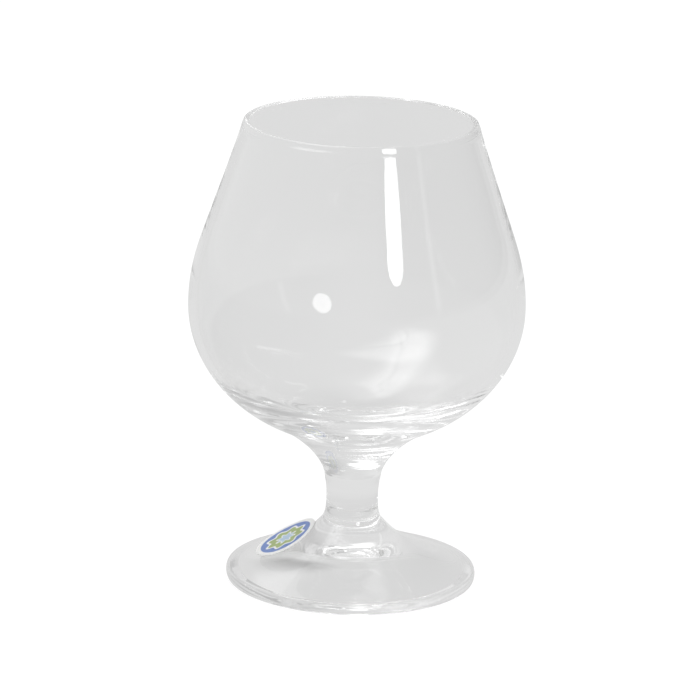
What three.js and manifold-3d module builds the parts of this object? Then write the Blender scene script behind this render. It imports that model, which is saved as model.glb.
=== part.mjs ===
// Brandy snifter: a blown bowl, a short solid stem and a pressed foot, fused together, with an
// oval paper label on the foot. Millimetres, +Z up. The foot rests on the plane z = 0 and the axis
// of the glass is the Z axis.
import * as THREE from 'three';
import { mergeVertices } from 'three/addons/utils/BufferGeometryUtils.js';
import Module from 'manifold-3d';

// Heights, stacked from the table upwards. Their sum is the height of the glass.
const FOOT_HEIGHT = 15.5;
const STEM_LENGTH = 12.0;
const BELLY_RISE = 43.5; // from the top of the stem to the greatest width of the bowl
const RIM_RISE = 46.8; // from the greatest width to the top of the rim

// Bowl.
const BOWL_R = 42.0; // greatest outside radius
const BELLY_DEPTH = 34.7; // depth of the lower half, were its curve to close on the axis
const FLARE_R = 20.5; // where the lower half runs into the flare of the neck
const LIP_R = 29.6; // outside radius at the crease under the bead of the rim
const LIP_HEIGHT = 2.0; // height of the bead
const LIP_ROUND = 0.4; // height of its rounded top
const LIP_LEAN = 0.31; // radius lost for each millimetre of height just under the bead
const BEAD_LEAN = 0.42; // radius lost for each millimetre of height along the bead
const BEAD_SWELL = 0.13; // how far the bead swells out of both sides
const TAPER_R = 37.0; // outside radius half way up the taper
const TAPER_RISE = 22.8; // height of that radius above the greatest width
const TAPER_LEAN = 0.345; // radius lost for each millimetre of height on the taper
const WALL_BELLY = 1.7; // wall at the greatest width
const WALL_LIP = 1.2; // wall at the creases of the bead
const BASE_THICK = 6.6; // glass between the lowest point of the hollow and the closed curve
const EVEN_TURN = 24; // degrees below the greatest width over which the wall stays even
const FULL_TURN = 82; // degrees below the greatest width at which the base has its full thickness

// Stem. Its two ends share their radii with the neck of the bowl and the top of the foot.
const NECK_R = 7.15;
const NECK_LEAN = 0.1; // radius gained for each millimetre of height where stem and bowl meet
const WAIST_R = 6.5;
const WAIST_SHARE = 0.5; // height of the waist as a share of the stem
const CREASE_R = 7.45; // radius where the stem sits on the foot
const CREASE_FLARE = 0.55; // radius lost for each millimetre of height just above that seam

// Foot.
const FOOT_R = 31.4;
const EDGE_HEIGHT = 2.95; // height of the rounded edge
const EDGE_WIDEST = 1.6; // height of its greatest radius
const EDGE_ROUND = 0.65; // how far in from that radius the edge meets the top and the underside
const CONE_LEAN = 0.38; // rise of the flat cone for each millimetre towards the axis
const CONE_R = 20.5; // where the flat cone starts to sweep up to the stem
const CREASE_LEAN = 1.1; // rise for each millimetre towards the axis just below the stem
const REST_WIDTH = 3.4; // width of the ring that stands on the table
const DOME_RISE = 7.5; // hollow under the middle of the foot
const DOME_LEAN = 0.3; // fall of the hollow for each millimetre outwards where it meets the ring

// Label. Paper bends one way only, so it is straight across and bent a little up the foot.
const LABEL_ACROSS = 19.2; // around the foot
const LABEL_ALONG = 16.7; // up the foot
const LABEL_THICK = 0.2;
const LABEL_GAP = 0.1; // film of glue between the paper and the glass
const LABEL_INSET = 6.9; // from the rounded edge of the foot to the lower end
const LABEL_BRIDGE = 0.6; // share of the foot's hollow sweep that the paper bridges
const LABEL_AZIMUTH = 178.4; // degrees around from +X

// Facets around the axis, along each stretch of a profile and around the oval.
const SEGMENTS = 64;
const FINE = 6;
const COARSE = 4;
const OVAL = 56;

const wasm = await Module();
wasm.setup();

const NECK_Z = FOOT_HEIGHT + STEM_LENGTH;
const BELLY_Z = NECK_Z + BELLY_RISE;
const RIM_Z = BELLY_Z + RIM_RISE;
const EDGE_R = FOOT_R - EDGE_ROUND;

const point = (r, z) => new THREE.Vector2(r, z);

/** Joins stretches of profile, leaving out a point that a stretch shares with the one before. */
function chain(...stretches) {
  return stretches.reduce((all, next) => {
    const last = all[all.length - 1];
    const shared = last && last.distanceTo(next[0]) < 1e-6;
    return all.concat(shared ? next.slice(1) : next);
  }, []);
}

/** A cubic stretch that leaves `from` by the step `out` and comes to `to` by the step `into`. */
function sweep(from, out, to, into, divisions) {
  const curve = new THREE.CubicBezierCurve(from, from.clone().add(out), to.clone().sub(into), to);
  return curve.getSpacedPoints(divisions);
}

/** A step along a profile: `rise` upwards, with `lean` of radius for each millimetre of it. */
const upwards = (rise, lean) => point(rise * lean, rise);

/** A step along a profile: `reach` outwards, with `lean` of height for each millimetre of it. */
const outwards = (reach, lean) => point(reach, reach * lean);

/** Turns a closed profile of (radius, height) points about the Z axis. */
function turned(profile) {
  const geometry = new THREE.LatheGeometry(profile, SEGMENTS);
  geometry.rotateX(Math.PI / 2);
  return geometry;
}

/** Outside of the bowl below its greatest width: the flare of the neck, then part of an ellipse. */
function bowlOutsideLower() {
  const start = -Math.acos(FLARE_R / BOWL_R);
  const belly = new THREE.EllipseCurve(0, BELLY_Z, BOWL_R, BELLY_DEPTH, start, 0)
    .getSpacedPoints(2 * FINE);
  const bellyLean = (BELLY_DEPTH * Math.cos(start)) / (-BOWL_R * Math.sin(start));
  const neck = point(NECK_R, NECK_Z);
  const rise = belly[0].y - neck.y;
  const reach = belly[0].x - neck.x;
  const flare = sweep(
    neck, upwards(rise / 2.5, 2.5 * NECK_LEAN),
    belly[0], outwards(reach / 2.5, bellyLean), FINE,
  );
  return chain(flare, belly);
}

/** The bead of the rim, from its outer crease over the rounded top to its inner crease. */
function rimBead() {
  const height = LIP_HEIGHT - LIP_ROUND;
  const side = (way) => Array.from({ length: COARSE + 1 }, (_, i) => {
    const u = i / COARSE;
    const middle = LIP_R - WALL_LIP / 2 - BEAD_LEAN * height * u;
    const half = WALL_LIP / 2 + BEAD_SWELL * (1 - (1 - u) ** 4);
    return point(middle + way * half, RIM_Z - LIP_HEIGHT + height * u);
  });
  const outer = side(1);
  const inner = side(-1);
  const centre = outer[COARSE].clone().lerp(inner[COARSE], 0.5);
  const reach = WALL_LIP / 2 + BEAD_SWELL;
  const top = new THREE.EllipseCurve(centre.x, centre.y, reach, LIP_ROUND, 0, Math.PI);
  return chain(outer, top.getPoints(COARSE), inner.reverse());
}

/** Outside of the bowl above its greatest width: the shoulder, then the taper up to the bead. */
function bowlOutsideUpper() {
  const widest = point(BOWL_R, BELLY_Z);
  const taper = point(TAPER_R, BELLY_Z + TAPER_RISE);
  const lip = rimBead()[0];
  const lipRise = lip.y - taper.y;
  const shoulder = sweep(
    widest, upwards(TAPER_RISE / 2.4, 0),
    taper, upwards(TAPER_RISE / 3.3, -TAPER_LEAN), FINE,
  );
  const top = sweep(
    taper, upwards(lipRise / 2.4, -TAPER_LEAN),
    lip, upwards(lipRise / 3, -LIP_LEAN), FINE,
  );
  return chain(shoulder, top);
}

/** The wall grows thinner from the greatest width to the bead. */
function wallAt(z) {
  const share = (z - BELLY_Z) / (RIM_RISE - LIP_HEIGHT);
  return THREE.MathUtils.lerp(WALL_BELLY, WALL_LIP, share);
}

/**
 * Inside of the bowl below its greatest width. The wall is set off square from the ellipse outside:
 * even at first, then growing smoothly into the thick base.
 */
function bowlInsideLower() {
  const inside = Array.from({ length: 3 * FINE + 1 }, (_, i) => {
    const turn = (i / (3 * FINE)) * (Math.PI / 2);
    const u = THREE.MathUtils.clamp(
      (THREE.MathUtils.radToDeg(turn) - EVEN_TURN) / (FULL_TURN - EVEN_TURN), 0, 1,
    );
    const share = u - Math.sin(2 * Math.PI * u) / (2 * Math.PI);
    const wall = THREE.MathUtils.lerp(WALL_BELLY, BASE_THICK, share);
    const normal = point(Math.cos(turn) / BOWL_R, -Math.sin(turn) / BELLY_DEPTH).normalize();
    return point(BOWL_R * Math.cos(turn), BELLY_Z - BELLY_DEPTH * Math.sin(turn))
      .addScaledVector(normal, -wall);
  });
  inside[inside.length - 1].x = 0;
  return inside;
}

function bowlGeometry() {
  const outside = bowlOutsideUpper();
  const inside = outside
    .map((p) => point(p.x - wallAt(p.y), p.y))
    .reverse();
  return turned(chain(
    [point(0, NECK_Z)], bowlOutsideLower(), outside, rimBead(), inside, bowlInsideLower(),
  ));
}

function stemGeometry() {
  const bottom = point(CREASE_R, FOOT_HEIGHT);
  const waist = point(WAIST_R, FOOT_HEIGHT + WAIST_SHARE * STEM_LENGTH);
  const top = point(NECK_R, NECK_Z);
  const below = waist.y - bottom.y;
  const above = top.y - waist.y;
  return turned(chain(
    [point(0, FOOT_HEIGHT)],
    sweep(bottom, upwards(below / 4, -CREASE_FLARE), waist, upwards(below / 2, 0), COARSE),
    sweep(waist, upwards(above / 2, 0), top, upwards(above / 3, NECK_LEAN), COARSE),
    [point(0, NECK_Z)],
  ));
}

/** Top of the foot from its rounded edge up to the stem: a flat cone, then a sweep. */
function footTop() {
  const edge = point(EDGE_R, EDGE_HEIGHT);
  const knee = point(CONE_R, EDGE_HEIGHT + CONE_LEAN * (EDGE_R - CONE_R));
  const crease = point(CREASE_R, FOOT_HEIGHT);
  const reach = crease.x - knee.x;
  return chain([edge], sweep(
    knee, outwards(0.6 * reach, -CONE_LEAN),
    crease, outwards(0.3 * reach, -CREASE_LEAN), FINE,
  ));
}

function footGeometry() {
  const ring = point(EDGE_R - REST_WIDTH, 0);
  const hollow = sweep(
    point(0, DOME_RISE), outwards(0.45 * ring.x, 0),
    ring, outwards(0.4 * ring.x, -DOME_LEAN), 2 * FINE,
  );
  const low = new THREE.EllipseCurve(EDGE_R, EDGE_WIDEST, EDGE_ROUND, EDGE_WIDEST, -Math.PI / 2, 0);
  const high = new THREE.EllipseCurve(
    EDGE_R, EDGE_WIDEST, EDGE_ROUND, EDGE_HEIGHT - EDGE_WIDEST, 0, Math.PI / 2,
  );
  return turned(chain(
    hollow, low.getPoints(COARSE), high.getPoints(COARSE), footTop(), [point(0, FOOT_HEIGHT)],
  ));
}

/** Converts a three.js geometry to a solid for cutting. */
function solid(geometry) {
  const bare = geometry.clone();
  bare.deleteAttribute('normal');
  bare.deleteAttribute('uv');
  const shared = mergeVertices(bare, 1e-4);
  return new wasm.Manifold(new wasm.Mesh({
    numProp: 3,
    vertProperties: new Float32Array(shared.getAttribute('position').array),
    triVerts: new Uint32Array(shared.getIndex().array),
  }));
}

function geometryOf(body) {
  const mesh = body.getMesh();
  const place = new THREE.BufferAttribute(new Float32Array(mesh.vertProperties), 3);
  return new THREE.BufferGeometry().setAttribute('position', place).setIndex(Array.from(mesh.triVerts));
}

/** Height of a profile that runs inwards, at the radius r. */
function heightAt(profile, r) {
  const next = profile.findIndex((p) => p.x < r);
  const [a, b] = [profile[next - 1], profile[next]];
  return THREE.MathUtils.mapLinear(r, a.x, b.x, a.y, b.y);
}

/** The point of a profile that runs inwards, `far` away from its point `from`. */
function pointAway(profile, from, far) {
  let [near, away] = [from.x, profile[profile.length - 1].x];
  for (let i = 0; i < 40; i += 1) {
    const r = (near + away) / 2;
    if (from.distanceTo(point(r, heightAt(profile, r))) < far) near = r;
    else away = r;
  }
  return point(near, heightAt(profile, near));
}

/**
 * The label: an oval cut out of a bent sheet. The sheet stands on the foot at the lower and the
 * upper end of the label and bridges a share of the hollow sweep between them.
 */
function labelGeometry() {
  const top = footTop();
  const lowR = EDGE_R - LABEL_INSET;
  const low = point(lowR, heightAt(top, lowR));
  const high = pointAway(top, low, LABEL_ALONG);
  const along = high.clone().sub(low).normalize();
  const normal = point(along.y, -along.x);
  const hollow = Math.max(...top
    .filter((p) => p.x < low.x && p.x > high.x)
    .map((p) => -p.clone().sub(low).dot(normal)));
  const middle = low.clone().lerp(high, 0.5);
  const bend = middle.clone().addScaledVector(normal, -2 * (1 - LABEL_BRIDGE) * hollow);

  const curve = new THREE.QuadraticBezierCurve(low, bend, high);
  const spare = LABEL_ALONG / 8;
  const line = (height) => Array.from({ length: 2 * COARSE + 1 }, (_, i) => {
    const u = i / (2 * COARSE);
    const way = curve.getTangent(u);
    const beyond = { 0: -spare, 1: spare }[u] ?? 0;
    return curve.getPoint(u).addScaledVector(way, beyond).add(point(way.y, -way.x).multiplyScalar(height));
  });
  const section = new THREE.Shape([...line(LABEL_GAP), ...line(LABEL_GAP + LABEL_THICK).reverse()]);
  const sheet = new THREE.ExtrudeGeometry(section, { depth: LABEL_ACROSS + spare, bevelEnabled: false });
  sheet.translate(0, 0, -(LABEL_ACROSS + spare) / 2);
  sheet.rotateX(Math.PI / 2);

  const oval = new THREE.Shape().absellipse(0, 0, LABEL_ALONG / 2, LABEL_ACROSS / 2, 0, 2 * Math.PI);
  const cutter = new THREE.ExtrudeGeometry(oval, {
    depth: LABEL_ALONG, bevelEnabled: false, curveSegments: OVAL / 2,
  });
  cutter.translate(0, 0, -LABEL_ALONG / 2);
  cutter.rotateY(Math.atan2(normal.x, normal.y));
  cutter.translate(middle.x, 0, middle.y);

  const label = geometryOf(solid(sheet).intersect(solid(cutter)));
  label.rotateZ(THREE.MathUtils.degToRad(LABEL_AZIMUTH));
  return label;
}

const glass = new THREE.MeshStandardMaterial({
  color: 0xe6ecec, roughness: 0.04, metalness: 0, transparent: true, opacity: 0.45,
});
const paper = new THREE.MeshStandardMaterial({ color: 0xf4f4f0, roughness: 0.55, metalness: 0 });

function part(name, geometry, material) {
  const mesh = new THREE.Mesh(geometry, material);
  mesh.name = name;
  return mesh;
}

const snifter = new THREE.Group();
snifter.name = 'brandy_snifter';
snifter.add(
  part('bowl', bowlGeometry(), glass),
  part('stem', stemGeometry(), glass),
  part('foot', footGeometry(), glass),
  part('label', labelGeometry(), paper),
);

export default snifter;
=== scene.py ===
"""Brandy snifter: blown bowl, fused stem and foot in clear glass, and an oval paper label.

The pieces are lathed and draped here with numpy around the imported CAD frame, then dressed with
procedural glass and printed paper and set on a pale floor under soft studio light.
Sizes are in millimetres, as on the drawing of the part, and go into the meshes in metres.
"""

import logging
import math
from dataclasses import dataclass
from enum import Enum
from typing import Sequence

import bpy
import numpy as np
from mathutils import Matrix, Vector


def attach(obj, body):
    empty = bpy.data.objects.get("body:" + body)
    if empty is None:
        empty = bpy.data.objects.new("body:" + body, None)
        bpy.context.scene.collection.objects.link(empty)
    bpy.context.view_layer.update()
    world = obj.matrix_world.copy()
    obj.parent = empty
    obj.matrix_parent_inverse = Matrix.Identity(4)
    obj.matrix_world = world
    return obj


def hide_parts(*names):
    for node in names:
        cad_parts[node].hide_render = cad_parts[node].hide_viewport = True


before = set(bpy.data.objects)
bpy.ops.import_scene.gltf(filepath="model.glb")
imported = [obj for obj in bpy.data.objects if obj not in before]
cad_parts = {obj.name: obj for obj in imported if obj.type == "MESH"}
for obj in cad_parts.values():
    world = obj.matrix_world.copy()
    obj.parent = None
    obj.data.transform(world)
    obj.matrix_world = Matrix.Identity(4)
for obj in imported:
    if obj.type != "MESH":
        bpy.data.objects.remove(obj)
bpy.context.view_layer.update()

LOG = logging.getLogger("snifter")
MM = 0.001
BODY = "root"
CHART = "chart"

Colour = tuple[float, float, float, float]
Triple = tuple[float, float, float]
Pair = tuple[float, float]


class Slot(Enum):
    """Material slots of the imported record."""

    GLASS = "clear_glass"
    PAPER = "label_paper"


def grey(level: float) -> Colour:
    """Neutral colour of one linear level."""
    return (level, level, level, 1.0)


def way_to(azimuth: float, elevation: float) -> Vector:
    """Direction out of the glass.

    Args:
        azimuth: degrees to the right of the camera's side.
        elevation: degrees over the table.

    Returns:
        Unit vector.
    """
    az, el = math.radians(azimuth), math.radians(elevation)
    return Vector((math.sin(az) * math.cos(el), -math.cos(az) * math.cos(el), math.sin(el)))


# Curves and closed surfaces


def point(radius: float, height: float) -> np.ndarray:
    """Profile point, as radius from the axis and height over the table."""
    return np.array([radius, height], dtype=float)


def upwards(rise: float, lean: float) -> np.ndarray:
    """Step that climbs by rise and moves outwards by lean for each unit of it."""
    return np.array([rise * lean, rise], dtype=float)


def outwards(reach: float, lean: float) -> np.ndarray:
    """Step that moves outwards by reach and climbs by lean for each unit of it."""
    return np.array([reach, reach * lean], dtype=float)


def sweep(start: np.ndarray, leave: np.ndarray, end: np.ndarray, arrive: np.ndarray, count: int) -> np.ndarray:
    """Cubic Bezier stretch of a profile.

    P(t) = (1-t)^3 A + 3 (1-t)^2 t (A + leave) + 3 (1-t) t^2 (B - arrive) + t^3 B.

    Args:
        start: first point A.
        leave: way that the curve sets out from A.
        end: last point B.
        arrive: way that the curve comes into B.
        count: number of points.

    Returns:
        Array of count points.
    """
    t = np.linspace(0.0, 1.0, count)[:, None]
    s = 1.0 - t
    return s**3 * start + 3 * s**2 * t * (start + leave) + 3 * s * t**2 * (end - arrive) + t**3 * end


def arc(centre: np.ndarray, half: np.ndarray, first: float, last: float, count: int) -> np.ndarray:
    """Stretch of an ellipse: C + (a cos w, b sin w) for w from first to last.

    Args:
        centre: middle of the ellipse.
        half: its half axes a and b.
        first: angle of the first point.
        last: angle of the last point.
        count: number of points.

    Returns:
        Array of count points.
    """
    w = np.linspace(first, last, count)
    return centre + half * np.stack([np.cos(w), np.sin(w)], axis=1)


def chain(*stretches: np.ndarray) -> np.ndarray:
    """Stretches joined into one profile, without the points that neighbours share."""
    path = np.concatenate(stretches)
    step = np.linalg.norm(np.diff(path, axis=0), axis=1)
    return path[np.concatenate([[True], step > 1e-6])]


@dataclass
class RingBody:
    """Closed surface of rings between two poles.

    rings[i, j] is step j of ring i. Rings follow each other so that the faces between them look
    outwards, and a fan of triangles joins the first and the last ring to its pole.
    """

    name: str
    rings: np.ndarray
    poles: np.ndarray
    chart: np.ndarray
    pole_chart: np.ndarray
    wraps: bool = True

    def corners(self) -> tuple[np.ndarray, np.ndarray, np.ndarray]:
        """Corner lists of the first fan, of the bands between rings and of the last fan."""
        rows, steps = self.rings.shape[:2]
        here = np.arange(steps)
        there = (here + 1) % steps
        low = 1 + steps * np.arange(rows - 1)[:, None]
        high = low + steps
        first = np.stack([np.zeros_like(here), 1 + there, 1 + here], axis=1)
        bands = np.stack([low + here, low + there, high + there, high + here], axis=2)
        top = 1 + steps * (rows - 1)
        last = np.stack([np.full_like(here, 1 + steps * rows), top + here, top + there], axis=1)
        return first, bands, last

    def corner_chart(self) -> np.ndarray:
        """UV of every face corner, with the last step of a wrapped chart at 1 and not back at 0."""
        rows, steps = self.rings.shape[:2]
        here = np.arange(steps)
        there = (here + 1) % steps
        near = self.chart[:, here]
        far = self.chart[:, there].copy()
        if self.wraps:
            far[:, -1, 0] = 1.0
        ends = np.broadcast_to(self.pole_chart[:, None, :], (2, steps, 2)).copy()
        if self.wraps:
            ends[:, :, 0] = (here + 0.5) / steps
        first = np.stack([ends[0], far[0], near[0]], axis=1)
        bands = np.stack([near[:-1], far[:-1], far[1:], near[1:]], axis=2)
        last = np.stack([ends[1], near[-1], far[-1]], axis=1)
        return np.concatenate([first.reshape(-1, 2), bands.reshape(-1, 2), last.reshape(-1, 2)])

    def to_object(self, row_slots: np.ndarray, crease: float) -> bpy.types.Object:
        """Puts the surface into a mesh object.

        Args:
            row_slots: material slot of the first fan, of each band and of the last fan.
            crease: angle in degrees over which an edge shades sharp.

        Returns:
            The new object, linked to the scene.
        """
        rows, steps = self.rings.shape[:2]
        first, bands, last = self.corners()
        places = np.concatenate([self.poles[:1], self.rings.reshape(-1, 3), self.poles[1:]]) * MM
        loops = np.concatenate([first.ravel(), bands.ravel(), last.ravel()])
        sizes = np.concatenate([np.full(steps, 3), np.full((rows - 1) * steps, 4), np.full(steps, 3)])
        starts = np.concatenate([[0], np.cumsum(sizes)[:-1]])

        mesh = bpy.data.meshes.new(self.name)
        mesh.vertices.add(len(places))
        mesh.vertices.foreach_set("co", places.astype(np.float32).ravel())
        mesh.loops.add(len(loops))
        mesh.loops.foreach_set("vertex_index", loops.astype(np.int32))
        mesh.polygons.add(len(starts))
        mesh.polygons.foreach_set("loop_start", starts.astype(np.int32))
        mesh.polygons.foreach_set("use_smooth", np.ones(len(starts), dtype=bool))
        mesh.polygons.foreach_set("material_index", np.repeat(row_slots, steps).astype(np.int32))
        mesh.update(calc_edges=True)
        chart = mesh.uv_layers.new(name=CHART)
        chart.uv.foreach_set("vector", self.corner_chart().astype(np.float32).ravel())
        mesh.set_sharp_from_angle(angle=math.radians(crease))
        mesh.validate()
        piece = bpy.data.objects.new(self.name, mesh)
        bpy.context.scene.collection.objects.link(piece)
        return piece


def lathed(name: str, profile: np.ndarray, steps: int) -> RingBody:
    """Body of revolution of a profile that starts and ends on the axis.

    Ring i, step j lies at (r_i cos w_j, r_i sin w_j, z_i) with w_j = 2 pi j / steps. The chart runs
    once around in u and along the length of the profile in v.

    Args:
        name: name of the piece.
        profile: points (r, z), the first and the last with r = 0.
        steps: number of steps around.

    Returns:
        The closed surface.
    """
    w = np.linspace(0.0, 2 * math.pi, steps, endpoint=False)
    r, z = profile[1:-1, 0, None], profile[1:-1, 1, None]
    rings = np.stack([r * np.cos(w), r * np.sin(w), z + 0 * w], axis=2)
    length = np.concatenate([[0], np.cumsum(np.linalg.norm(np.diff(profile, axis=0), axis=1))])
    share = length / length[-1]
    around = w / (2 * math.pi)
    chart = np.stack(np.broadcast_arrays(around[None, :], share[1:-1, None]), axis=2)
    poles = np.array([[0, 0, profile[0, 1]], [0, 0, profile[-1, 1]]], dtype=float)
    return RingBody(name, rings, poles, chart, np.array([[0.5, 0.0], [0.5, 1.0]]))


def lathed_piece(
    name: str, profile: np.ndarray, steps: int, seams: Sequence[int], crease: float
) -> bpy.types.Object:
    """Lathed object with its seams in the second material slot.

    Args:
        name: name of the piece.
        profile: points (r, z), the first and the last with r = 0.
        steps: number of steps around.
        seams: rows of faces that are seams.
        crease: angle in degrees over which an edge shades sharp.

    Returns:
        The new object.
    """
    body = lathed(name, profile, steps)
    slots = np.zeros(body.rings.shape[0] + 1, dtype=int)
    slots[list(seams)] = 1
    return body.to_object(slots, crease)


# Materials


class Nodes:
    """Shorthand for filling one node tree."""

    def __init__(self, tree: bpy.types.NodeTree) -> None:
        """Keeps the tree to fill."""
        self.tree = tree

    def add(self, kind: str, inputs: dict | None = None, **settings) -> bpy.types.Node:
        """Adds a node.

        Args:
            kind: Blender's name of the node type.
            inputs: value, or socket to link from, for each input by name or number.
            settings: properties of the node.

        Returns:
            The new node.
        """
        node = self.tree.nodes.new(kind)
        for key, value in settings.items():
            setattr(node, key, value)
        for key, value in (inputs or {}).items():
            if isinstance(value, bpy.types.NodeSocket):
                self.tree.links.new(value, node.inputs[key])
            else:
                node.inputs[key].default_value = value
        return node

    def math(self, operation: str, *values) -> bpy.types.NodeSocket:
        """Math node's result for the given values or sockets."""
        return self.add("ShaderNodeMath", dict(enumerate(values)), operation=operation).outputs[0]

    def ramp(
        self, value: bpy.types.NodeSocket, low: float, high: float, first: float, last: float
    ) -> bpy.types.NodeSocket:
        """Value carried smoothly from the range low to high over to first to last."""
        inputs = dict(enumerate((value, low, high, first, last)))
        return self.add("ShaderNodeMapRange", inputs, interpolation_type="SMOOTHSTEP").outputs[0]

    def mix(self, share, one, other) -> bpy.types.NodeSocket:
        """Colour between one and the other by share, on the colour sockets of a Mix node."""
        return self.add("ShaderNodeMix", {0: share, 6: one, 7: other}, data_type="RGBA").outputs[2]

    def neutral(self, level: bpy.types.NodeSocket) -> bpy.types.NodeSocket:
        """Neutral colour of a level."""
        return self.add("ShaderNodeCombineColor", dict.fromkeys(range(3), level)).outputs[0]

    def reach(self, x: bpy.types.NodeSocket, y: bpy.types.NodeSocket) -> bpy.types.NodeSocket:
        """Distance of (x, y) from the middle."""
        squares = (self.math("POWER", side, 2.0) for side in (x, y))
        return self.math("SQRT", self.math("ADD", *squares))

    def noise(
        self, place: bpy.types.NodeSocket, scale, detail: float, roughness: float = 0.5,
        stretch: Triple = (1.0, 1.0, 1.0), turn: Triple = (0.0, 0.0, 0.0),
    ) -> bpy.types.NodeSocket:
        """Noise over a place.

        Args:
            place: coordinates that the noise lies on.
            scale: fineness of the noise, as a value or a socket.
            detail: number of finer layers.
            roughness: share of each finer layer.
            stretch: factor on each axis of the place.
            turn: turn of the place about each axis.

        Returns:
            Value socket.
        """
        mapped = self.add("ShaderNodeMapping", {"Vector": place, "Scale": stretch, "Rotation": turn}).outputs[0]
        inputs = {"Vector": mapped, "Scale": scale, "Detail": detail, "Roughness": roughness}
        return self.add("ShaderNodeTexNoise", inputs).outputs[0]

    def seen_in_glass(self) -> bpy.types.NodeSocket:
        """1 along rays that glass has mirrored or bent, and 0 along others."""
        path = self.add("ShaderNodeLightPath").outputs
        return self.math("MAXIMUM", path["Is Glossy Ray"], path["Is Transmission Ray"])


def new_group(name: str, inputs: Sequence[tuple[str, str]], outputs: Sequence[tuple[str, str]]) -> Nodes:
    """Empty shader node group.

    Args:
        name: name of the group.
        inputs: name and socket type of each input.
        outputs: name and socket type of each output.

    Returns:
        The group's tree, ready to be filled.
    """
    tree = bpy.data.node_groups.new(name, "ShaderNodeTree")
    for label, kind in inputs:
        tree.interface.new_socket(name=label, in_out="INPUT", socket_type=kind)
    for label, kind in outputs:
        tree.interface.new_socket(name=label, in_out="OUTPUT", socket_type=kind)
    return Nodes(tree)


def new_material(name: str) -> Nodes:
    """Empty material's tree."""
    material = bpy.data.materials.new(name)
    material.use_nodes = True
    material.node_tree.nodes.clear()
    return Nodes(material.node_tree)


@dataclass(frozen=True)
class GlassSkin:
    """Surface of hot-worked glass: slow waves, fine lines around the neck and wiped smudges.

    The waves are noise on Object coordinates, drawn out along the axis. The lines are a finer noise
    that hardly changes around the axis and ends above the neck. The smudges lift the roughness, and
    the tint wanders between two near-white colours along slow cords.
    """

    wave_stretch: Triple = (1.0, 1.0, 0.45)
    line_scale: float = 900.0
    line_stretch: Triple = (0.03, 0.03, 1.0)
    lines_full_z: float = 34.0
    lines_end_z: float = 44.0
    smudge_scale: float = 55.0
    smudge_stretch: Triple = (1.0, 1.0, 2.2)
    smudge_turn: Triple = (0.3, 0.5, 0.0)
    smudge_reach: Pair = (0.52, 0.78)
    cord_scale: float = 28.0

    def group(self) -> bpy.types.NodeTree:
        """Node group with the outputs Tint, Roughness and Normal."""
        value, colour = "NodeSocketFloat", "NodeSocketColor"
        group = new_group(
            "glass_skin",
            [
                ("Wave Scale", value), ("Wave Height", value), ("Line Height", value),
                ("Polish", value), ("Smudge", value), ("Clear Tint", colour), ("Deep Tint", colour),
            ],
            [("Tint", colour), ("Roughness", value), ("Normal", "NodeSocketVector")],
        )
        given = group.add("NodeGroupInput").outputs
        place = group.add("ShaderNodeTexCoord").outputs["Object"]

        waves = group.noise(place, given["Wave Scale"], detail=1.0, roughness=0.4, stretch=self.wave_stretch)
        wavy = group.add("ShaderNodeBump", {"Strength": 1.0, "Distance": given["Wave Height"], "Height": waves})
        height = group.add("ShaderNodeSeparateXYZ", {0: place}).outputs[2]
        on_neck = group.ramp(height, self.lines_full_z * MM, self.lines_end_z * MM, 1.0, 0.0)
        lines = group.noise(place, self.line_scale, detail=1.0, stretch=self.line_stretch)
        lined = group.add("ShaderNodeBump", {
            "Strength": 1.0, "Distance": given["Line Height"],
            "Height": group.math("MULTIPLY", lines, on_neck), "Normal": wavy.outputs[0],
        })

        smudges = group.noise(
            place, self.smudge_scale, detail=4.0, roughness=0.6,
            stretch=self.smudge_stretch, turn=self.smudge_turn,
        )
        film = group.ramp(smudges, *self.smudge_reach, 0.0, 1.0)
        rough = group.math("ADD", given["Polish"], group.math("MULTIPLY", film, given["Smudge"]))
        cords = group.noise(place, self.cord_scale, detail=2.0)
        tint = group.mix(cords, given["Clear Tint"], given["Deep Tint"])
        group.add("NodeGroupOutput", {"Tint": tint, "Roughness": rough, "Normal": lined.outputs[0]})
        return group.tree


@dataclass(frozen=True)
class GlassFinish:
    """Clear glass as one process leaves it."""

    name: str
    skin: bpy.types.NodeTree
    wave_scale: float
    wave_height: float
    smudge: float
    line_height: float = 0.0
    polish: float = 0.0
    clear_tint: Colour = (0.998, 0.998, 0.998, 1.0)
    deep_tint: Colour = (0.988, 0.99, 0.989, 1.0)
    ior: float = 1.52

    def material(self) -> bpy.types.Material:
        """Glass whose waves, smudges and tint come from the shared skin."""
        nodes = new_material(self.name)
        settings = {
            "Wave Scale": self.wave_scale, "Wave Height": self.wave_height, "Line Height": self.line_height,
            "Polish": self.polish, "Smudge": self.smudge,
            "Clear Tint": self.clear_tint, "Deep Tint": self.deep_tint,
        }
        skin = nodes.add("ShaderNodeGroup", settings, node_tree=self.skin)
        shader = nodes.add("ShaderNodeBsdfPrincipled", {
            "Base Color": skin.outputs["Tint"], "Roughness": skin.outputs["Roughness"],
            "Normal": skin.outputs["Normal"], "IOR": self.ior, "Metallic": 0.0, "Transmission Weight": 1.0,
        })
        nodes.add("ShaderNodeOutputMaterial", {"Surface": shader.outputs[0]})
        return bpy.data.materials[self.name]


@dataclass(frozen=True)
class SeamFinish:
    """Face where two gathers of glass are fused, through which light passes unbent."""

    name: str = "fused_seam"

    def material(self) -> bpy.types.Material:
        """Material that shows nothing, made once."""
        if self.name in bpy.data.materials:
            return bpy.data.materials[self.name]
        nodes = new_material(self.name)
        shader = nodes.add("ShaderNodeBsdfPrincipled", {"Base Color": grey(1.0), "Alpha": 0.0})
        nodes.add("ShaderNodeOutputMaterial", {"Surface": shader.outputs[0]})
        return bpy.data.materials[self.name]


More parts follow.
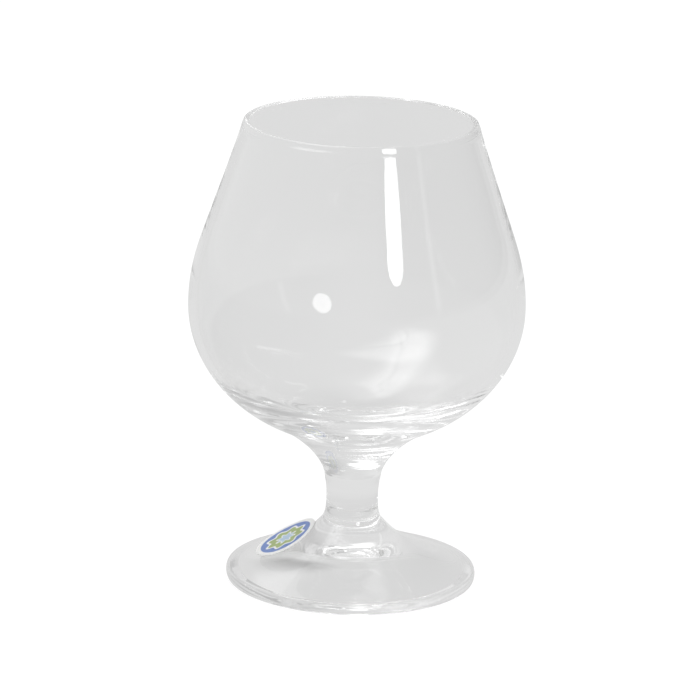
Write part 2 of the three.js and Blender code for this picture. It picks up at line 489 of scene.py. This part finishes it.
@dataclass(frozen=True)
class PaperFinish:
    """Coated label paper: white border, a printed rosette and fine paper grain, with an optional painted glow from
    emission that stands in for light shining through the paper.
    """

    name: str
    printed: bool
    long_half: float
    short_half: float
    # Painted light: emission strength that makes the paper glow, standing in for light shining through it.
    painted_glow: float = 0.0
    border: float = 1.3
    border_edge: float = 0.015
    petals: float = 8.0
    petal_depth: float = 0.07
    pale_reach: float = 0.27
    green_reach: float = 0.6
    field_edge: float = 0.02
    inner_line: float = 0.02
    outer_line: float = 0.03
    line_edge: float = 0.025
    fibre_scale: float = 2600.0
    fibre_reach: Pair = (0.35, 0.75)
    fibre_tone: float = 0.12
    fibre_grey: float = 0.55
    grain_height: float = 0.00004
    grain_strength: float = 0.35
    cloud_scale: float = 420.0
    wear_reach: Pair = (0.55, 0.85)
    wear: float = 0.18
    gloss_reach: Pair = (0.3, 0.7)
    roughness: Pair = (0.42, 0.58)
    white: Colour = (0.93, 0.93, 0.92, 1.0)
    blue: Colour = (0.13, 0.23, 0.56, 1.0)
    green: Colour = (0.36, 0.46, 0.16, 1.0)
    pale: Colour = (0.46, 0.62, 0.79, 1.0)

    def rosette(self, nodes: Nodes) -> bpy.types.NodeSocket:
        """Printed colour over the oval, from the chart.

        With x and y from -1 to 1 across the oval, r and w its polar coordinates and
        h = r + petal_depth cos(petals w), the rosette is pale up to h = pale_reach, green up to
        h = green_reach and blue outside, with fine white lines between them, inside an even white
        border.

        Args:
            nodes: tree of the material.

        Returns:
            Colour socket.
        """
        chart = nodes.add("ShaderNodeUVMap", uv_map=CHART).outputs[0]
        split = nodes.add("ShaderNodeSeparateXYZ", {0: chart}).outputs
        x, y = (nodes.math("MULTIPLY_ADD", split[side], 2.0, -1.0) for side in (0, 1))
        lobes = nodes.math("COSINE", nodes.math("MULTIPLY", nodes.math("ARCTAN2", y, x), self.petals))
        h = nodes.math("MULTIPLY_ADD", lobes, self.petal_depth, nodes.reach(x, y))

        ink = self.pale
        lines = []
        fields = ((self.pale_reach, self.green, self.inner_line), (self.green_reach, self.blue, self.outer_line))
        for end, colour, half in fields:
            ink = nodes.mix(nodes.ramp(h, end - self.field_edge, end + self.field_edge, 0.0, 1.0), ink, colour)
            off = nodes.math("ABSOLUTE", nodes.math("ADD", h, -end))
            lines.append(nodes.ramp(off, half, half + self.line_edge, 1.0, 0.0))
        lined = nodes.mix(nodes.math("MAXIMUM", *lines), ink, self.white)

        across = nodes.math("MULTIPLY", x, self.long_half / (self.long_half - self.border))
        along = nodes.math("MULTIPLY", y, self.short_half / (self.short_half - self.border))
        outside = nodes.ramp(nodes.reach(across, along), 1 - self.border_edge, 1 + self.border_edge, 0.0, 1.0)
        return nodes.mix(outside, lined, self.white)

    def material(self) -> bpy.types.Material:
        """Paper with fibres in its colour, its gloss and its relief, and a painted glow from its emission."""
        nodes = new_material(self.name)
        place = nodes.add("ShaderNodeTexCoord").outputs["Object"]
        fibres = nodes.noise(place, self.fibre_scale, detail=3.0)
        clouds = nodes.noise(place, self.cloud_scale, detail=2.0)
        ink = self.rosette(nodes) if self.printed else self.white
        worn = nodes.mix(nodes.ramp(clouds, *self.wear_reach, 0.0, self.wear), ink, self.white)
        toned = nodes.mix(nodes.ramp(fibres, *self.fibre_reach, 0.0, self.fibre_tone), worn, grey(self.fibre_grey))
        rough = nodes.ramp(clouds, *self.gloss_reach, *self.roughness)
        bump = nodes.add("ShaderNodeBump", {
            "Strength": self.grain_strength, "Distance": self.grain_height, "Height": fibres,
        })
        shader = nodes.add("ShaderNodeBsdfPrincipled", {
            "Base Color": toned, "Roughness": rough, "Normal": bump.outputs[0],
            # The emission is a painted glow that stands in for light shining through the paper.
            "Emission Color": self.white, "Emission Strength": self.painted_glow,
        })
        nodes.add("ShaderNodeOutputMaterial", {"Surface": shader.outputs[0]})
        return bpy.data.materials[self.name]


# Pieces of the glass


def settle(piece: bpy.types.Object, node: str, materials: Sequence[bpy.types.Material]) -> None:
    """Dresses a piece and sets it on the frame in place of its CAD node.

    Args:
        piece: the piece.
        node: CAD node that it stands for.
        materials: materials of the piece, by material index.
    """
    for material in materials:
        piece.data.materials.append(material)
    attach(piece, BODY)
    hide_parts(node)
    LOG.info("%s: %d faces for node %s", piece.name, len(piece.data.polygons), node)


@dataclass
class Bowl:
    """Blown bowl with its thick neck and fire-polished rim."""

    neck_z: float = 27.5
    belly_z: float = 71.0
    rim_z: float = 117.8
    bowl_r: float = 42.0
    belly_depth: float = 34.7
    flare_r: float = 20.5
    lip_r: float = 29.6
    lip_height: float = 2.0
    lip_round: float = 0.4
    lip_lean: float = 0.31
    bead_lean: float = 0.42
    bead_swell: float = 0.13
    taper_r: float = 37.0
    taper_rise: float = 22.8
    taper_lean: float = 0.345
    wall_belly: float = 1.7
    wall_lip: float = 1.2
    base_thick: float = 6.6
    even_turn: float = 24.0
    full_turn: float = 82.0
    neck_r: float = 7.15
    neck_lean: float = 0.1
    flare_turn: float = 2.5
    flare_ease: float = 2.5
    taper_ease: float = 2.4
    shoulder_ease: float = 3.3
    lip_ease: float = 3.0
    steps: int = 192
    sharp_over: float = 40.0

    def rim(self) -> np.ndarray:
        """Bead along the rim, from its outer crease over the rounded top to its inner crease.

        With u from 0 to 1 up its height h, its middle leans inwards by bead_lean h u, and both sides
        swell away from it by bead_swell (1 - (1 - u)^4).

        Returns:
            Profile points.
        """
        h = self.lip_height - self.lip_round
        u = np.linspace(0.0, 1.0, num=16)
        middle = self.lip_r - self.wall_lip / 2 - self.bead_lean * h * u
        half = self.wall_lip / 2 + self.bead_swell * (1 - (1 - u) ** 4)
        z = self.rim_z - self.lip_height + h * u
        top = arc(point(middle[-1], z[-1]), point(half[-1], self.lip_round), 0.0, math.pi, count=24)
        return chain(np.stack([middle + half, z], axis=1), top, np.stack([middle - half, z], axis=1)[::-1])

    def outside(self) -> np.ndarray:
        """Outer profile from the seam on the stem up to the rim.

        A flare out of the neck, a quarter ellipse up to the belly, and two cubic sweeps over the
        taper to the crease under the rim's bead.

        Returns:
            Profile points.
        """
        neck = point(self.neck_r, self.neck_z)
        turn = -math.acos(self.flare_r / self.bowl_r)
        flare = point(self.flare_r, self.belly_z + self.belly_depth * math.sin(turn))
        lean = self.belly_depth * math.cos(turn) / (-self.bowl_r * math.sin(turn))
        rise, reach = flare[1] - neck[1], flare[0] - neck[0]
        lower = sweep(
            neck, upwards(rise / self.flare_ease, self.flare_turn * self.neck_lean),
            flare, outwards(reach / self.flare_ease, lean), count=36,
        )
        belly = arc(point(0, self.belly_z), point(self.bowl_r, self.belly_depth), turn, 0.0, count=48)
        return chain(lower, belly, self.taper())

    def taper(self) -> np.ndarray:
        """Outer profile from the belly to the rim."""
        wide = point(self.bowl_r, self.belly_z)
        shoulder = point(self.taper_r, self.belly_z + self.taper_rise)
        lip = self.rim()[0]
        rise = lip[1] - shoulder[1]
        first = sweep(
            wide, upwards(self.taper_rise / self.taper_ease, 0.0),
            shoulder, upwards(self.taper_rise / self.shoulder_ease, -self.taper_lean), count=30,
        )
        second = sweep(
            shoulder, upwards(rise / self.taper_ease, -self.taper_lean),
            lip, upwards(rise / self.lip_ease, -self.lip_lean), count=34,
        )
        return chain(first, second)

    def hollow(self) -> np.ndarray:
        """Inner profile from the belly down to the axis.

        The wall W goes inwards along the normal of the outer ellipse at the angle w below the belly.
        With u from 0 to 1 between even_turn and full_turn, W = wall_belly + (base_thick -
        wall_belly) (u - sin(2 pi u) / (2 pi)).

        Returns:
            Profile points.
        """
        w = np.linspace(0.0, math.pi / 2, num=90)
        u = np.clip((np.degrees(w) - self.even_turn) / (self.full_turn - self.even_turn), 0.0, 1.0)
        wall = self.wall_belly + (self.base_thick - self.wall_belly) * (u - np.sin(2 * math.pi * u) / (2 * math.pi))
        outer = np.stack([self.bowl_r * np.cos(w), self.belly_z - self.belly_depth * np.sin(w)], axis=1)
        normal = np.stack([np.cos(w) / self.bowl_r, -np.sin(w) / self.belly_depth], axis=1)
        inner = outer - wall[:, None] * normal / np.linalg.norm(normal, axis=1, keepdims=True)
        inner[-1, 0] = 0.0
        return inner

    def profile(self) -> np.ndarray:
        """Closed profile: seam, outside, rim, inside, and the bottom of the hollow."""
        taper, rim = self.taper(), self.rim()
        wall = np.interp(taper[:, 1], [self.belly_z, rim[-1, 1]], [self.wall_belly, rim[0, 0] - rim[-1, 0]])
        inside = np.stack([taper[:, 0] - wall, taper[:, 1]], axis=1)[::-1]
        return chain(point(0, self.neck_z)[None], self.outside(), rim, inside, self.hollow())

    def build(self) -> bpy.types.Object:
        """Lathes the bowl, with its seam in the second material slot."""
        return lathed_piece("glass_bowl", self.profile(), self.steps, [0], self.sharp_over)

    def dress(self, piece: bpy.types.Object, glass: GlassFinish, seam: SeamFinish) -> None:
        """Gives the bowl its finish and sets it on the frame."""
        settle(piece, "bowl", [glass.material(), seam.material()])


@dataclass
class Stem:
    """Short solid stem with a waist."""

    foot_z: float = 15.5
    neck_z: float = 27.5
    crease_r: float = 7.45
    crease_flare: float = 0.55
    waist_r: float = 6.5
    waist_share: float = 0.5
    neck_r: float = 7.15
    neck_lean: float = 0.1
    crease_ease: float = 4.0
    waist_ease: float = 2.0
    neck_ease: float = 3.0
    steps: int = 160
    sharp_over: float = 40.0

    def profile(self) -> np.ndarray:
        """Closed profile: two cubic sweeps that meet at the waist, between flat seams."""
        length = self.neck_z - self.foot_z
        below = length * self.waist_share
        above = length - below
        crease = point(self.crease_r, self.foot_z)
        waist = point(self.waist_r, self.foot_z + below)
        neck = point(self.neck_r, self.neck_z)
        lower = sweep(
            crease, upwards(below / self.crease_ease, -self.crease_flare),
            waist, upwards(below / self.waist_ease, 0.0), count=30,
        )
        upper = sweep(
            waist, upwards(above / self.waist_ease, 0.0),
            neck, upwards(above / self.neck_ease, self.neck_lean), count=30,
        )
        return chain(point(0, self.foot_z)[None], lower, upper, point(0, self.neck_z)[None])

    def build(self) -> bpy.types.Object:
        """Lathes the stem, with both seams in the second material slot."""
        return lathed_piece("glass_stem", self.profile(), self.steps, [0, -1], self.sharp_over)

    def dress(self, piece: bpy.types.Object, glass: GlassFinish, seam: SeamFinish) -> None:
        """Gives the stem its finish and sets it on the frame."""
        settle(piece, "stem", [glass.material(), seam.material()])


@dataclass
class Foot:
    """Pressed conical foot with a rounded edge, a flat resting ring and a hollow underside."""

    foot_r: float = 31.4
    foot_z: float = 15.5
    edge_height: float = 2.95
    edge_widest: float = 1.6
    edge_round: float = 0.65
    cone_lean: float = 0.38
    cone_r: float = 20.5
    crease_r: float = 7.45
    crease_lean: float = 1.1
    rest_width: float = 3.4
    dome_rise: float = 7.5
    dome_lean: float = 0.3
    cone_ease: float = 0.6
    crease_ease: float = 0.3
    dome_ease: float = 0.45
    rest_ease: float = 0.4
    steps: int = 192
    sharp_over: float = 15.0

    @property
    def edge_r(self) -> float:
        """Radius at which the rounded edge starts."""
        return self.foot_r - self.edge_round

    def top(self) -> np.ndarray:
        """Upper profile from the edge inwards: a straight cone, then a cubic sweep up to the crease."""
        edge = point(self.edge_r, self.edge_height)
        knee = edge + outwards(self.cone_r - self.edge_r, -self.cone_lean)
        crease = point(self.crease_r, self.foot_z)
        reach = crease[0] - knee[0]
        cone = np.linspace(edge, knee, num=30)
        rise = sweep(
            knee, outwards(self.cone_ease * reach, -self.cone_lean),
            crease, outwards(self.crease_ease * reach, -self.crease_lean), count=48,
        )
        return chain(cone, rise)

    def profile(self) -> np.ndarray:
        """Closed profile: dome under the foot, resting ring, rounded edge, top and seam."""
        rest_r = self.edge_r - self.rest_width
        dome = sweep(
            point(0, self.dome_rise), point(self.dome_ease * rest_r, 0),
            point(rest_r, 0), outwards(self.rest_ease * rest_r, -self.dome_lean), count=40,
        )
        ring = np.linspace(point(rest_r, 0), point(self.edge_r, 0), num=8)
        middle = point(self.edge_r, self.edge_widest)
        lower = arc(middle, point(self.edge_round, self.edge_widest), -math.pi / 2, 0.0, count=16)
        above = self.edge_height - self.edge_widest
        upper = arc(middle, point(self.edge_round, above), 0.0, math.pi / 2, count=16)
        return chain(dome, ring, lower, upper, self.top(), point(0, self.foot_z)[None])

    def build(self) -> bpy.types.Object:
        """Lathes the foot, with its seam in the second material slot."""
        return lathed_piece("glass_foot", self.profile(), self.steps, [-1], self.sharp_over)

    def dress(self, piece: bpy.types.Object, glass: GlassFinish, seam: SeamFinish) -> None:
        """Gives the foot its finish and sets it on the frame."""
        settle(piece, "foot", [glass.material(), seam.material()])


@dataclass
class Label:
    """Oval paper label, straight across and bent a little into the sweep of the foot."""

    around: float = 19.2
    along: float = 16.7
    thick: float = 0.2
    gap: float = 0.1
    inset: float = 6.9
    bridge: float = 0.6
    azimuth: float = 178.4
    # Painted light: glow of the label's back, standing in for light shining through the paper.
    painted_glow: float = 0.25
    rounds: int = 26
    steps: int = 120
    sharp_over: float = 40.0

    def section(self, foot: Foot) -> np.ndarray:
        """Three points of the quadratic curve that the label follows up the foot.

        The ends lie on the foot, and the middle bridges a share of the hollow between them.

        Args:
            foot: the foot that carries the label.

        Returns:
            Lower end, control point and upper end, as profile points.
        """
        top = foot.top()
        low_r = foot.edge_r - self.inset
        low = point(low_r, float(np.interp(-low_r, -top[:, 0], top[:, 1])))
        above = top[top[:, 0] < low_r]
        high = np.array([np.interp(self.along, np.linalg.norm(above - low, axis=1), above[:, k]) for k in (0, 1)])
        chord = (high - low) / self.along
        under = point(-chord[1], chord[0])
        hollow = float(np.max((above[above[:, 0] > high[0]] - low) @ under))
        return np.stack([low, (low + high) / 2 + 2 * (1 - self.bridge) * hollow * under, high])

    def on_foot(self, s: np.ndarray, t: np.ndarray, height: np.ndarray, section: np.ndarray) -> np.ndarray:
        """Points of the flat oval bent to its section.

        With w = t / along + 1/2 the section runs (1-w)^2 A + 2 (1-w) w C + w^2 B, and the height goes
        along its normal. The distance s goes straight across.

        Args:
            s: distance across.
            t: distance up the foot from the middle.
            height: distance from the foot.
            section: points A, C and B of the section.

        Returns:
            Array of points in space.
        """
        w = (t / self.along + 0.5)[..., None]
        a, c, b = section
        place = (1 - w) ** 2 * a + 2 * (1 - w) * w * c + w**2 * b
        way = (1 - w) * (c - a) + w * (b - c)
        way = way / np.linalg.norm(way, axis=-1, keepdims=True)
        place = place + height[..., None] * np.stack([way[..., 1], -way[..., 0]], axis=-1)
        turn = math.radians(self.azimuth)
        r, z = place[..., 0], place[..., 1]
        return np.stack([r * math.cos(turn) - s * math.sin(turn), r * math.sin(turn) + s * math.cos(turn), z], axis=-1)

    def build(self, foot: Foot) -> bpy.types.Object:
        """Makes the label as ovals of growing size under, then of shrinking size over, the paper.

        Args:
            foot: the foot that carries the label.

        Returns:
            The label, with its back in the second material slot.
        """
        section = self.section(foot)
        grow = np.linspace(0.0, 1.0, self.rounds)[1:]
        share = np.concatenate([grow, grow[::-1]])[:, None]
        height = np.concatenate([np.full(len(grow), self.gap), np.full(len(grow), self.gap + self.thick)])[:, None]
        w = np.linspace(0.0, 2 * math.pi, self.steps, endpoint=False)
        s = 0.5 * self.around * share * -np.cos(w)
        t = 0.5 * self.along * share * np.sin(w)
        rings = self.on_foot(s, t, height + 0 * s, section)
        poles = self.on_foot(np.zeros(2), np.zeros(2), np.array([self.gap, self.gap + self.thick]), section)
        chart = np.stack([0.5 - s / self.around, 0.5 + t / self.along], axis=2)
        body = RingBody("oval_label", rings, poles, chart, np.full((2, 2), 0.5), wraps=False)
        slots = np.zeros(rings.shape[0] + 1, dtype=int)
        slots[: len(grow)] = 1
        return body.to_object(slots, self.sharp_over)

    def dress(self, piece: bpy.types.Object) -> None:
        """Prints the face, leaves the back plain white with a painted glow that stands in for light through the paper,
        and sets the label on the frame.
        """
        face = PaperFinish("label_print", True, self.around / 2, self.along / 2)
        back = PaperFinish("label_back", False, self.around / 2, self.along / 2, self.painted_glow)
        settle(piece, "label", [face.material(), back.material()])


# Studio


@dataclass(frozen=True)
class Lamp:
    """Soft oval lamp, placed around the glass by the way that it is seen from there."""

    name: str
    azimuth: float
    elevation: float
    distance: float
    width: float
    height: float
    radiance: float

    def build(self, target: Vector) -> bpy.types.Object:
        """Hangs the lamp and turns it to the target.

        Blender's power is 4 times the radiance times the area of the oval.

        Args:
            target: point that the lamp looks at.

        Returns:
            The lamp.
        """
        data = bpy.data.lights.new(self.name, "AREA")
        data.shape = "ELLIPSE"
        data.size, data.size_y = self.width, self.height
        area = math.pi / 4 * self.width * self.height
        data.energy = 4.0 * self.radiance * area
        way = way_to(self.azimuth, self.elevation)
        lamp = bpy.data.objects.new(self.name, data)
        lamp.location = target + way * self.distance
        lamp.rotation_euler = way.to_track_quat("Z", "Y").to_euler()
        bpy.context.scene.collection.objects.link(lamp)
        return lamp


@dataclass(frozen=True)
class SoftCard:
    """Soft-edged bright card in the room, seen only in the glass.

    Seen from the glass along its axis a, with r to the right and u up, both rolled by turn, a
    direction d meets it at x = d.r / d.a and y = d.u / d.a, and the edge fades over a band around
    the half sizes.
    """

    azimuth: float
    elevation: float
    half_width: float
    half_height: float
    fade: float
    level: float
    turn: float = 0.0
    least_ahead: float = 0.02
    full_ahead: float = 0.1

    def light(self, nodes: Nodes, way: bpy.types.NodeSocket) -> bpy.types.NodeSocket:
        """Light that the card adds along each direction.

        Args:
            nodes: tree of the world.
            way: direction looked at.

        Returns:
            Value socket.
        """
        axis = way_to(self.azimuth, self.elevation)
        az = math.radians(self.azimuth)
        right = Vector((math.cos(az), math.sin(az), 0.0))
        up = axis.cross(right)
        roll = Matrix.Rotation(math.radians(self.turn), 3, axis)
        right, up = roll @ right, roll @ up
        along, across, above = (
            nodes.add("ShaderNodeVectorMath", {0: way, 1: tuple(v)}, operation="DOT_PRODUCT").outputs["Value"]
            for v in (axis, right, up)
        )
        ahead = nodes.math("MAXIMUM", along, self.least_ahead)
        inside = []
        for part, half in ((across, self.half_width), (above, self.half_height)):
            off = nodes.math("ABSOLUTE", nodes.math("DIVIDE", part, ahead))
            inside.append(nodes.ramp(off, half - self.fade, half + self.fade, 1.0, 0.0))
        facing = nodes.ramp(along, self.least_ahead, self.full_ahead, 0.0, self.level)
        return nodes.math("MULTIPLY", nodes.math("MULTIPLY", *inside), facing)


@dataclass
class Studio:
    """Pale floor and surroundings, soft lamps and the camera."""

    floor_half: float = 3.0
    floor_cells: int = 8
    floor_drop: float = 0.00005
    floor_plain: float = 0.85
    floor_white: float = 0.9
    floor_shade: float = 0.16
    backdrop: float = 0.722
    # Painted shadow: the floor as the glass shows it is darker near the foot, fading out over this reach.
    painted_foot_shadow: float = 0.04
    painted_foot_shadow_reach: Pair = (0.03, 0.1)
    # Painted light: the floor as the glass shows it is brighter in a ring around the glass, fading back over this
    # reach.
    painted_near_light: float = 0.028
    painted_near_light_reach: Pair = (0.2, 0.42)
    # Painted shadow: a soft dark patch on the floor as the glass shows it, where the label's shadow falls, round this
    # place and out to this reach.
    painted_label_shadow: float = 0.32
    painted_label_shadow_place: Triple = (-0.014, 0.005, 0.0)
    painted_label_shadow_reach: float = 0.013
    right_shade: float = 0.25
    left_lift: float = 0.1
    side_reach: Pair = (0.05, 0.7)
    fill_light: float = 1.0
    target: Triple = (0.0, 0.0, 0.07)
    camera_place: Triple = (0.0, -1.08986, 0.36427)
    camera_pitch: float = 15.64
    camera_roll: float = 1.4
    camera_yaw: float = 0.0757
    lens: float = 233.26
    sensor: float = 36.0
    sight: float = 50.0
    bounces: int = 200
    spark_limit: float = 3.4
    lamps: tuple[Lamp, ...] = (
        Lamp("oval_key", azimuth=28.6, elevation=28.2, distance=1.3, width=0.3, height=0.45, radiance=6.0),
    )
    cards: tuple[SoftCard, ...] = (
        SoftCard(azimuth=-134.2, elevation=59.6, half_width=0.79, half_height=0.16, fade=0.1, level=0.66, turn=28.8),
        SoftCard(azimuth=-93.0, elevation=67.0, half_width=0.5, half_height=0.23, fade=0.16, level=2.6, turn=-40.0),
        SoftCard(azimuth=58.0, elevation=16.0, half_width=0.03, half_height=0.26, fade=0.03, level=0.5),
        SoftCard(azimuth=115.0, elevation=46.0, half_width=0.03, half_height=0.15, fade=0.03, level=1.5),
    )

    def floor(self) -> bpy.types.Object:
        """Flat square floor just under the resting ring, on a grid of x and y."""
        side = np.linspace(-self.floor_half, self.floor_half, self.floor_cells + 1)
        x, y = np.meshgrid(side, side, indexing="ij")
        places = np.stack([x, y, np.full_like(x, -self.floor_drop)], axis=2).reshape(-1, 3)
        cells = np.arange(side.size**2).reshape(side.size, side.size)
        faces = np.stack([cells[:-1, :-1], cells[1:, :-1], cells[1:, 1:], cells[:-1, 1:]], axis=2).reshape(-1, 4)
        mesh = bpy.data.meshes.new("floor")
        mesh.from_pydata(places.tolist(), [], faces.tolist())
        floor = bpy.data.objects.new("floor", mesh)
        bpy.context.scene.collection.objects.link(floor)
        floor.data.materials.append(self.floor_material())
        return floor

    def floor_material(self) -> bpy.types.Material:
        """Pale floor: white with a faint shadow to the camera, plain to other light, and pale grey in the glass with
        painted shade: a painted shadow under the foot and under the label, and a painted brighter ring around the
        glass.
        """
        nodes = new_material("pale_floor")
        path = nodes.add("ShaderNodeLightPath").outputs
        plain = nodes.add("ShaderNodeBsdfDiffuse", {"Color": grey(self.floor_plain)}).outputs[0]
        white = nodes.add("ShaderNodeEmission", {"Color": grey(self.floor_white), "Strength": 1.0}).outputs[0]
        shade = nodes.add("ShaderNodeBsdfDiffuse", {"Color": grey(self.floor_shade)}).outputs[0]
        shaded = nodes.add("ShaderNodeAddShader", {0: white, 1: shade}).outputs[0]
        place = nodes.add("ShaderNodeTexCoord").outputs["Object"]
        away, aside = (
            nodes.add("ShaderNodeVectorMath", {0: place, 1: middle}, operation="DISTANCE").outputs["Value"]
            for middle in ((0.0, 0.0, 0.0), self.painted_label_shadow_place)
        )
        # The level that the glass sees holds painted shade: a painted shadow near the foot, a painted brighter ring
        # around it and a painted shadow of the label.
        foot_level, near_level = self.backdrop - self.painted_foot_shadow, self.backdrop + self.painted_near_light
        near = nodes.ramp(away, *self.painted_foot_shadow_reach, foot_level, near_level)
        far = nodes.math("SUBTRACT", near, nodes.ramp(away, *self.painted_near_light_reach, 0.0, self.painted_near_light))
        level = nodes.math("SUBTRACT", far, nodes.ramp(aside, 0.0, self.painted_label_shadow_reach, self.painted_label_shadow, 0.0))
        pale = nodes.neutral(level)
        seen = nodes.add("ShaderNodeEmission", {"Color": pale, "Strength": 1.0}).outputs[0]
        to_camera = nodes.add("ShaderNodeMixShader", {0: path["Is Camera Ray"], 1: plain, 2: shaded}).outputs[0]
        mixed = nodes.add("ShaderNodeMixShader", {0: nodes.seen_in_glass(), 1: to_camera, 2: seen}).outputs[0]
        nodes.add("ShaderNodeOutputMaterial", {"Surface": mixed})
        return bpy.data.materials["pale_floor"]

    def surroundings(self) -> None:
        """World: white to the camera, a pale room with soft cards in the glass, an even fill for other light."""
        world = bpy.data.worlds.new("studio")
        bpy.context.scene.world = world
        world.use_nodes = True
        world.node_tree.nodes.clear()
        nodes = Nodes(world.node_tree)
        path = nodes.add("ShaderNodeLightPath").outputs
        way = nodes.add("ShaderNodeTexCoord").outputs["Generated"]
        sideways = nodes.add("ShaderNodeSeparateXYZ", {0: way}).outputs[0]
        near, far = self.side_reach
        shade = nodes.ramp(sideways, near, far, self.backdrop, self.backdrop - self.right_shade)
        lift = nodes.ramp(sideways, -far, -near, self.left_lift, 0.0)
        room = nodes.math("ADD", shade, lift)
        for card in self.cards:
            room = nodes.math("ADD", room, card.light(nodes, way))
        filled = nodes.mix(nodes.seen_in_glass(), grey(self.fill_light), nodes.neutral(room))
        colour = nodes.mix(path["Is Camera Ray"], filled, grey(1.0))
        light = nodes.add("ShaderNodeBackground", {"Color": colour, "Strength": 1.0})
        nodes.add("ShaderNodeOutputWorld", {"Surface": light.outputs[0]})

    def camera(self) -> bpy.types.Object:
        """Camera at the photograph's angle, with its slight roll."""
        data = bpy.data.cameras.new("camera")
        data.lens = self.lens
        data.sensor_width = self.sensor
        data.clip_end = self.sight
        data.dof.use_dof = False
        camera = bpy.data.objects.new("camera", data)
        turn = (
            Matrix.Rotation(math.radians(self.camera_yaw), 4, "Z")
            @ Matrix.Rotation(math.radians(90.0 - self.camera_pitch), 4, "X")
            @ Matrix.Rotation(math.radians(self.camera_roll), 4, "Z")
        )
        camera.matrix_world = Matrix.Translation(self.camera_place) @ turn
        bpy.context.scene.collection.objects.link(camera)
        bpy.context.scene.camera = camera
        return camera

    def light_paths(self) -> None:
        """Lets light run on through the many inner reflections of thick glass, with sparks held down."""
        paths = bpy.context.scene.cycles
        paths.max_bounces = self.bounces
        paths.glossy_bounces = self.bounces
        paths.transmission_bounces = self.bounces
        paths.transparent_max_bounces = self.bounces
        paths.sample_clamp_indirect = self.spark_limit

    def build(self) -> None:
        """Sets up floor, surroundings, lamps and camera."""
        self.floor()
        self.surroundings()
        target = Vector(self.target)
        for lamp in self.lamps:
            lamp.build(target)
            LOG.info("lamp %s", lamp.name)
        self.camera()
        self.light_paths()
        bpy.context.scene.view_settings.view_transform = "Standard"


def main() -> None:
    """Builds the glass piece by piece, then the studio around it."""
    logging.basicConfig(level=logging.INFO, format="%(name)s: %(message)s")
    skin = GlassSkin().group()
    seam = SeamFinish()
    blown = GlassFinish(
        "blown_glass", skin, wave_scale=42.0, wave_height=0.00006, smudge=0.012, line_height=0.00006
    )
    drawn = GlassFinish("drawn_glass", skin, wave_scale=70.0, wave_height=0.00003, smudge=0.008)
    pressed = GlassFinish("pressed_glass", skin, wave_scale=60.0, wave_height=0.00001, smudge=0.006)

    bowl, stem, foot, label = Bowl(), Stem(), Foot(), Label()
    bowl.dress(bowl.build(), blown, seam)
    stem.dress(stem.build(), drawn, seam)
    foot.dress(foot.build(), pressed, seam)
    label.dress(label.build(foot))
    Studio().build()


if __name__ == "__main__":
    main()
